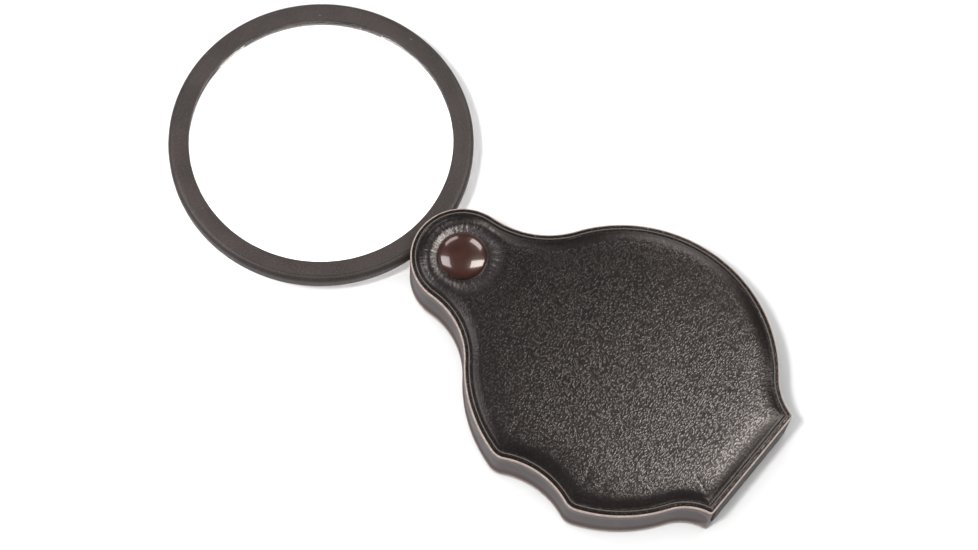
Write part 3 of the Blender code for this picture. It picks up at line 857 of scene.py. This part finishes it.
def cover(side, face, paints):
    rows = cover_rings()
    flat = np.vstack(rows)
    distance = edge_distance(flat)
    lift = cover_height(flat, distance)
    slack = lift * (1 - (1 - START_SHARE) * np.clip(lift, 0.0, None) / CROWN)
    lift = swollen(flat, slack)
    lift *= min(1.0, CROWN / lift.max())
    height = RIM + lift
    under_from = EDGE_RINGS.index(UNDER_INSET)
    # The first row is the foot of the cut edge, and the second and third round its top.
    height[:COUNT] = SKIN_IN
    height[COUNT : 2 * COUNT] -= RIM_ROUND / 2
    top = height.copy()
    last = len(rows) - 1
    under_rows = [last, *range(last - UNDER_STEP, under_from, -UNDER_STEP), under_from]
    under = np.vstack([rows[row] for row in under_rows])
    tops = [top[row * COUNT : (row + 1) * COUNT] for row in under_rows]
    under_z = np.maximum(np.concatenate(tops) - SKIN_T, SKIN_IN)
    under_z[-COUNT:] = SKIN_IN
    plan = np.vstack([flat, under])
    z = MID_Z + face * np.concatenate([top, under_z])
    points = np.column_stack([plan, z])
    faces = ring_faces(len(rows), COUNT)
    faces += closing_strip(rows[-1], (len(rows) - 1) * COUNT)
    first_under = len(flat)
    faces += ring_faces(len(under_rows), COUNT, first_under)
    faces += closing_strip(under[:COUNT], first_under)
    outer = first_under + (len(under_rows) - 1) * COUNT
    for index in range(COUNT):
        after = (index + 1) % COUNT
        faces.append((outer + index, outer + after, after, index))
    obj = make_piece(f"{side}_cover", points, faces, paints["leather"], sharp=45.0)
    mesh = obj.data
    everywhere = np.concatenate([distance, edge_distance(under)])
    radius = np.linalg.norm(plan - PIVOT, axis=1)
    near_edge = 1 - smooth(everywhere, PULL_FROM, PULL_TO)
    near_rivet = 1 - smooth(radius, RUCK_FROM, RUCK_TO)
    store(mesh, "pull", near_edge * PULL_SHARE)
    # Mask of the light line painted along the bead as a highlight.
    store(mesh, "painted_bead_highlight", np.exp(-(((everywhere - BEAD_AT) / BEAD_HIGHLIGHT_HALF) ** 2)))
    store(mesh, "rucked", near_rivet)
    edge_uv(mesh, everywhere)
    mesh.materials.append(paints["weld"])
    slots = np.zeros(len(mesh.polygons), np.int32)
    weld_rows = sum(1 for inset in EDGE_RINGS if inset < CHANNEL_FROM + WELD_PAST)
    slots[: weld_rows * COUNT] = 1
    mesh.polygons.foreach_set("material_index", slots)
    drill(obj, STACK_HOLE_R, SKIN_IN - 2, SKIN_TOP + 2, paints["leather"], face)
    stand_for(obj, "case", "leatherette", f"{side}_skin")


def pad_foam(side, face, paints):
    """The foam under the leather, a little clear of it."""
    shares = np.linspace(FOAM_FIRST_SHARE, LAST_SHARE, FOAM_ROWS)
    rows = [outline(FOAM_INSET)[::FOAM_COLUMN_STEP]]
    rows += [drawn_in(EDGE_RINGS[-1], share)[::FOAM_COLUMN_STEP] for share in shares]
    flat = np.vstack(rows)
    count = len(rows[0])
    height = RIM + cover_height(flat, edge_distance(flat)) - SKIN_T - FOAM_GAP
    height = np.maximum(height, SKIN_IN + FOAM_FOOT)
    height[:count] = SKIN_IN + FOAM_FOOT
    points = np.column_stack([flat, MID_Z + face * height])
    base = np.column_stack([rows[0], np.full(count, MID_Z + face * SKIN_IN)])
    points = np.vstack([base, points])
    faces = ring_faces(len(rows) + 1, count)
    faces.append(tuple(range(count)))
    faces += closing_strip(rows[-1], len(rows) * count)
    obj = make_piece(f"{side}_pad_foam", points, faces, paints["foam"])
    drill(obj, DIMPLE_R + FOAM_WELL_EASE, SKIN_IN - 2, SKIN_TOP + 2, paints["foam"], face)
    stand_for(obj, "case", "foam", f"{side}_foam")


def board(side, face, paints):
    """A stiff plate with slightly rounded edges."""
    loops = [
        (outline(PLATE_EASE), BOARD_IN),
        (outline(PLATE_EASE_MID), BOARD_IN + PLATE_EASE_MID_H),
        (outline(0.0), BOARD_IN + PLATE_EASE),
        (outline(0.0), BOARD_OUT - PLATE_EASE),
        (outline(PLATE_EASE_MID), BOARD_OUT - PLATE_EASE_MID_H),
        (outline(PLATE_EASE), BOARD_OUT),
    ]
    obj = slab(f"{side}_plate", loops, paints["board"], face)
    drill(obj, STACK_HOLE_R, BOARD_IN - 1, BOARD_OUT + 1, paints["board"], face)
    stand_for(obj, "case", "board_edge", f"{side}_board")


# ---- side wall and spine ----


def racetrack(along, half_length, half_height):
    """Half height of a slot with round ends, at a distance from its middle."""
    past = abs(along) - (half_length - half_height)
    if past <= 0:
        return half_height
    return math.sqrt(max(0.0, half_height**2 - past**2))


def side_wall(paints):
    """The moulded strip along one side: a raised rounded border round a sunk face with round ends."""
    lobe_start, lobe_end = sum(STEPS[:4]), sum(STEPS[:5])
    turns = [math.degrees(heading(p - PIVOT)) % 360.0 for p in OUTLINE[lobe_start:lobe_end]]
    first = lobe_start + next(i for i, turn in enumerate(turns) if turn >= WALL_START)
    indices = range(first, sum(STEPS) + 1)
    depths = (0.0, WALL_EASE_MID, WALL_EASE, WALL_RECESS, WALL_T - WALL_EASE, WALL_T)
    insets = {inset: outline(inset) for inset in depths}
    length = AROUND[indices[-1]] - AROUND[first]
    half_length, half_height = length / 2 - WALL_BORDER, WALL_HALF_H - WALL_BORDER
    points, border = [], []
    for index in indices:
        along = AROUND[index] - AROUND[first] - length / 2
        outer = racetrack(along, half_length + RECESS_SLOPE, half_height + RECESS_SLOPE)
        inner = racetrack(along, half_length - RECESS_SLOPE, half_height - RECESS_SLOPE)
        if abs(along) >= half_length + RECESS_SLOPE:
            outer = 0.0
        if abs(along) >= half_length - RECESS_SLOPE:
            inner = 0.0
        from_end = (half_length + RECESS_SLOPE - abs(along)) / (2 * RECESS_SLOPE)
        sunk = np.clip(from_end, 0, 1) if inner == 0 else 1.0
        deep = WALL_RECESS * float(sunk)
        base, low = insets[0.0][index], insets[WALL_RECESS][index]
        sunk_point = base + (low - base) * deep / WALL_RECESS
        top = WALL_HALF_H
        rim = [(insets[WALL_EASE][index], top, 1)]
        rim += [(insets[WALL_EASE_MID][index], top - WALL_EASE_MID, 1), (base, top - WALL_EASE, 1)]
        rim += [(base, outer, 1), (base + (sunk_point - base) * 0.5, (outer + inner) / 2, 0.6)]
        rim += [(sunk_point, inner, 0.15), (sunk_point, inner * 0.5, 0.0)]
        section = [*rim, (sunk_point, 0.0, 0.0)]
        section += [(p, -z, b) for p, z, b in reversed(rim)]
        rounded, back = insets[WALL_T - WALL_EASE][index], insets[WALL_T][index]
        section += [(rounded, -top, 1), (back, -top + WALL_EASE, 1)]
        section += [(back, top - WALL_EASE, 1), (rounded, top, 1)]
        points += [(*p, MID_Z + z) for p, z, _ in section]
        border += [b for _, _, b in section]
    count = len(section)
    faces = ring_faces(len(indices), count)
    faces.append(tuple(range(count)))
    faces.append(tuple(range((len(indices) - 1) * count, len(indices) * count)))
    obj = make_piece("wall_strip", points, faces, paints["wall"], sharp=40.0)
    store(obj.data, "border", border)
    stand_for(obj, "case", "wall_plastic", "side_wall")


def spine(paints):
    """The strip that closes the tail, with rounded upright edges."""
    low, high = -TAIL_HALF + SPINE_WALL_GAP, TAIL_HALF - SPINE_OPEN_GAP
    centre, radius = (SPINE_IN + SPINE_OUT) / 2, (SPINE_OUT - SPINE_IN) / 2
    points = []
    for end, start in ((high - radius, 0.0), (low + radius, 180.0)):
        for step in range(SPINE_STEPS + 1):
            turn = TAIL_TURN + start + 180.0 / SPINE_STEPS * step
            points.append(tail_point(centre, end) + polar(radius, turn))
    points = np.array(points)
    top = BOARD_IN - STACK_GAP
    loops = [(points, level) for level in (-top, -top / 3, top / 3, top)]
    obj = slab("spine_cover", loops, paints["lining"])
    stand_for(obj, "case", "leatherette", "spine_strip")


# ---- rivet caps ----


def cap(name, face, height, paints, node, wall, flat_r):
    """A domed shell with a rolled foot, crimped in underneath."""
    side_h, foot, crimp_r = 0.3, 0.07, 4.0
    dome = arc((flat_r, CAP_SEAT + side_h), CAP_R - flat_r, height - side_h, 90.0, 0.0, 26)
    profile = [(0.0, CAP_SEAT + height), *dome, (CAP_R, CAP_SEAT + foot), (CAP_R - foot, CAP_SEAT)]
    profile += [(crimp_r, CAP_SEAT), (crimp_r, CAP_SEAT + wall / 2), (CAP_R - wall, CAP_SEAT + wall / 2)]
    floor = CAP_SEAT + wall / 2 + 0.1
    shrink = (CAP_R - wall) / CAP_R
    profile += [(radius * shrink, max(level - wall, floor)) for radius, level in reversed(dome)]
    profile.append((0.0, CAP_SEAT + height - wall))
    obj = turned(name, profile, PIVOT, paints["enamel"], face, 120)
    stand_for(obj, "case", "cap_enamel", node)


# ---- lens, ring and retainer ----


def lens_level(radius):
    """Height of the lens's face over its middle plane."""
    rise = LENS_HALF_T - LENS_EDGE_HALF
    curve = (LENS_R**2 + rise**2) / (2 * rise)
    return LENS_HALF_T - (curve - math.sqrt(curve**2 - radius**2))


def lens(paints):
    radii = [LENS_R * math.sin(math.pi / 2 * step / 28) for step in range(29)]
    bevel = 0.15
    front = [(radius, lens_level(radius)) for radius in radii if radius < LENS_R - bevel]
    front += [(LENS_R - bevel, lens_level(LENS_R - bevel)), (LENS_R, LENS_EDGE_HALF - bevel)]
    back = [(radius, -level) for radius, level in reversed(front)]
    obj = turned("lens_glass", front + back, LENS_AT, paints["glass"], sides=192)
    obj.visible_shadow = False
    stand_for(obj, "lens", "lens_clear", "lens")


def lens_ring(paints):
    """The ring, with a flat face, rounded shoulder and thin inner lip, joined to the ear at the rivet."""
    lip = lens_level(RING_HOLE_R) + LIP_CLEARANCE
    face_r, side_h = RING_R - SHOULDER_IN, RING_HALF_T - SHOULDER_DROP
    ease = 0.12
    inner_top = [(RING_HOLE_R, RING_HALF_T - RING_LIP_EASE)]
    inner_top.append((RING_HOLE_R + RING_LIP_EASE_MID, RING_HALF_T - RING_LIP_EASE_MID))
    inner_top.append((RING_HOLE_R + RING_LIP_EASE, RING_HALF_T))
    shoulder = arc((face_r, side_h), SHOULDER_IN, SHOULDER_DROP - ease, 90.0, 0.0, 10)
    face = [(face_r - 0.3, RING_HALF_T), (face_r - 0.12, RING_HALF_T + 0.02)]
    face.append((face_r - 0.02, RING_HALF_T - 0.03))
    section = [(RING_HOLE_R, lip), (SEAT_R, lip)]
    section += [(SEAT_R, -RING_HALF_T + 0.05), (SEAT_R + 0.05, -RING_HALF_T)]
    section += [(radius, -level) for radius, level in face + shoulder]
    section += list(reversed(face + shoulder))
    section += list(reversed(inner_top))
    obj = turned("lens_ring", section, LENS_AT, paints["ring"], sides=288)
    hub = arc((EAR_R - EAR_EASE, EAR_HALF_T - EAR_EASE), EAR_EASE, EAR_EASE, 90.0, 0.0, 3)
    hub += [(radius, -level) for radius, level in reversed(hub)]
    hub = [(0.0, EAR_HALF_T), *hub, (0.0, -EAR_HALF_T)]
    combine(obj, turned("ear_hub", hub, PIVOT, paints["ring"], sides=72), "UNION")
    ahead = unit(LENS_AT - PIVOT)
    across = np.array([-ahead[1], ahead[0]])
    near = EAR_R - WEB_OVERLAP
    far = np.linalg.norm(LENS_AT - PIVOT) - (SEAT_R + RING_R) / 2
    places = ((near, -1), (far, -1), (far, 1), (near, 1))
    corners = [PIVOT + ahead * a + across * b * WEB_HALF_W for a, b in places]
    web_h = RING_HALF_T - WEB_STEP
    combine(obj, slab("ear_web", [(corners, -web_h), (corners, web_h)], paints["ring"]), "UNION")
    drill(obj, EAR_HOLE_R, -EAR_HALF_T - 1.0, EAR_HALF_T + 1.0, paints["ring"])
    obj.data.set_sharp_from_angle(angle=math.radians(30.0))
    stand_for(obj, "lens", "ring_plastic", "lens_frame")


def retainer(paints):
    ease = 0.12
    low, high = RETAINER_LOW, RETAINER_HIGH
    profile = [(RING_HOLE_R, low + ease), (RING_HOLE_R + ease, low), (RETAINER_R - ease, low)]
    profile += [(RETAINER_R, low + ease), (RETAINER_R, high), (RING_HOLE_R, high)]
    obj = turned("snap_ring", profile, LENS_AT, paints["ring"], sides=288)
    stand_for(obj, "lens", "ring_plastic", "lens_retainer")


# ---- CAD nodes that stay ----


def dress(node, paint):
    mesh = frame["nodes"][node].data
    mesh.materials.clear()
    mesh.materials.append(paint)
    mesh.set_sharp_from_angle(angle=math.radians(30.0))


# ---- stage ----

CAMERA_TARGET = Vector((-38.20, 3.80, 1.605))
CAMERA_DISTANCE = 554.6
CAMERA_TILT = 21.361
CAMERA_ROLL = 6.542
PICTURE_TURN = 28.94  # the picture's own left to right, measured round +Z from the case's length
LENS_MM = 92.025
WINDOW_DISTANCE = 260.0
WHITE = (1.0, 1.0, 1.0)
CASE_MIDDLE = (-30.0, 0.0, 10.0)


def in_picture(azimuth, elevation, distance, aim):
    """A point seen from aim at an azimuth from the picture's right towards its top, and an elevation."""
    turn, rise = math.radians(azimuth + PICTURE_TURN), math.radians(elevation)
    away = Vector((math.cos(turn) * math.cos(rise), math.sin(turn) * math.cos(rise), math.sin(rise)))
    return aim + away * distance


def camera():
    data = bpy.data.cameras.new("camera")
    data.lens, data.sensor_width = LENS_MM, 36.0
    data.clip_start, data.clip_end = 0.01, 50.0
    obj = bpy.data.objects.new("camera", data)
    turn = Matrix.Rotation(math.radians(PICTURE_TURN), 3, "Z")
    turn = turn @ Matrix.Rotation(math.radians(CAMERA_TILT), 3, "X")
    turn = turn @ Matrix.Rotation(math.radians(CAMERA_ROLL), 3, "Z")
    obj.location = (CAMERA_TARGET + turn @ Vector((0, 0, CAMERA_DISTANCE))) * MM
    obj.rotation_euler = turn.to_euler()
    bpy.context.scene.collection.objects.link(obj)
    bpy.context.scene.camera = obj


def softbox(name, azimuth, elevation, distance, size, power, colour=WHITE, aim=CASE_MIDDLE):
    """A rectangular lamp that the camera doesn't see, from a direction in the picture."""
    aim = Vector(aim)
    data = bpy.data.lights.new(name, "AREA")
    data.shape = "RECTANGLE"
    data.size, data.size_y = size[0] * MM, size[1] * MM
    data.energy = power
    data.color = colour
    obj = bpy.data.objects.new(name, data)
    place = in_picture(azimuth, elevation, distance, aim)
    obj.location = place * MM
    obj.rotation_euler = (aim - place).to_track_quat("-Z", "Y").to_euler()
    obj.visible_camera = False
    bpy.context.scene.collection.objects.link(obj)
    return obj


def lights():
    """Two lamps above give light without a reflection, and four near windows give reflections alone."""
    key = softbox("key", 230.0, 68.0, 900.0, (80.0, 80.0), 4.6)
    fill = softbox("fill", 200.0, 84.0, 900.0, (1300.0, 1300.0), 12.5)
    for lamp in (key, fill):
        lamp.visible_glossy = False
    cap = (*PIVOT, MID_Z + CAP_SEAT)
    windows = (
        ("left_window", 182.0, 46.0, (120.0, 190.0), 0.60, (1.0, 0.90, 0.92)),
        ("right_window", 6.0, 53.0, (80.0, 210.0), 0.80, (1.0, 0.90, 0.84)),
        ("far_right_window", 64.0, 37.0, (110.0, 80.0), 0.24, (1.0, 0.9, 0.86)),
        ("far_left_window", 120.0, 29.0, (120.0, 75.0), 0.15, (1.0, 0.9, 0.9)),
    )
    for name, azimuth, elevation, size, power, colour in windows:
        window = softbox(name, azimuth, elevation, WINDOW_DISTANCE, size, power, colour, cap)
        window.visible_diffuse = False


def world():
    made = bpy.data.worlds.new("studio")
    made.use_nodes = True
    back = made.node_tree.nodes["Background"]
    back.inputs["Color"].default_value = (1.0, 1.0, 1.0, 1.0)
    back.inputs["Strength"].default_value = 0.03
    bpy.context.scene.world = made


def floor():
    side = 3000.0
    points = [(-side, -side, 0.0), (side, -side, 0.0), (side, side, 0.0), (-side, side, 0.0)]
    mesh = bpy.data.meshes.new("floor")
    mesh.from_pydata([tuple(c * MM for c in p) for p in points], [], [(0, 1, 2, 3)])
    mesh.materials.append(floor_paint())
    obj = bpy.data.objects.new("floor", mesh)
    obj.location.z = -0.05 * MM
    bpy.context.scene.collection.objects.link(obj)


camera()
PAINTS = {
    "leather": leather_paint(),
    "weld": weld_paint(),
    "board": board_paint(),
    "wall": wall_paint(),
    "ring": ring_paint(),
    "enamel": enamel_paint(),
    "glass": glass_paint(),
    "steel": steel_paint(),
    "nylon": nylon_paint(),
    "lining": lining_paint(),
    "foam": foam_paint(),
}
for side, face in (("front", 1), ("back", -1)):
    cover(side, face, PAINTS)
    pad_foam(side, face, PAINTS)
    board(side, face, PAINTS)
    dress(f"{side}_lining", PAINTS["lining"])
    dress(f"{side}_washer", PAINTS["nylon"])
side_wall(PAINTS)
spine(PAINTS)
cap("front_dome", 1, FRONT_CAP_H, PAINTS, "front_cap", wall=0.35, flat_r=0.4)
cap("back_dome", -1, BACK_CAP_H, PAINTS, "back_cap", wall=0.25, flat_r=2.2)
dress("rivet_post", PAINTS["steel"])
dress("rivet_socket", PAINTS["steel"])
dress("corner_post", PAINTS["wall"])
lens_ring(PAINTS)
retainer(PAINTS)
lens(PAINTS)
floor()
lights()
world()
bpy.context.scene.view_settings.view_transform = "Standard"
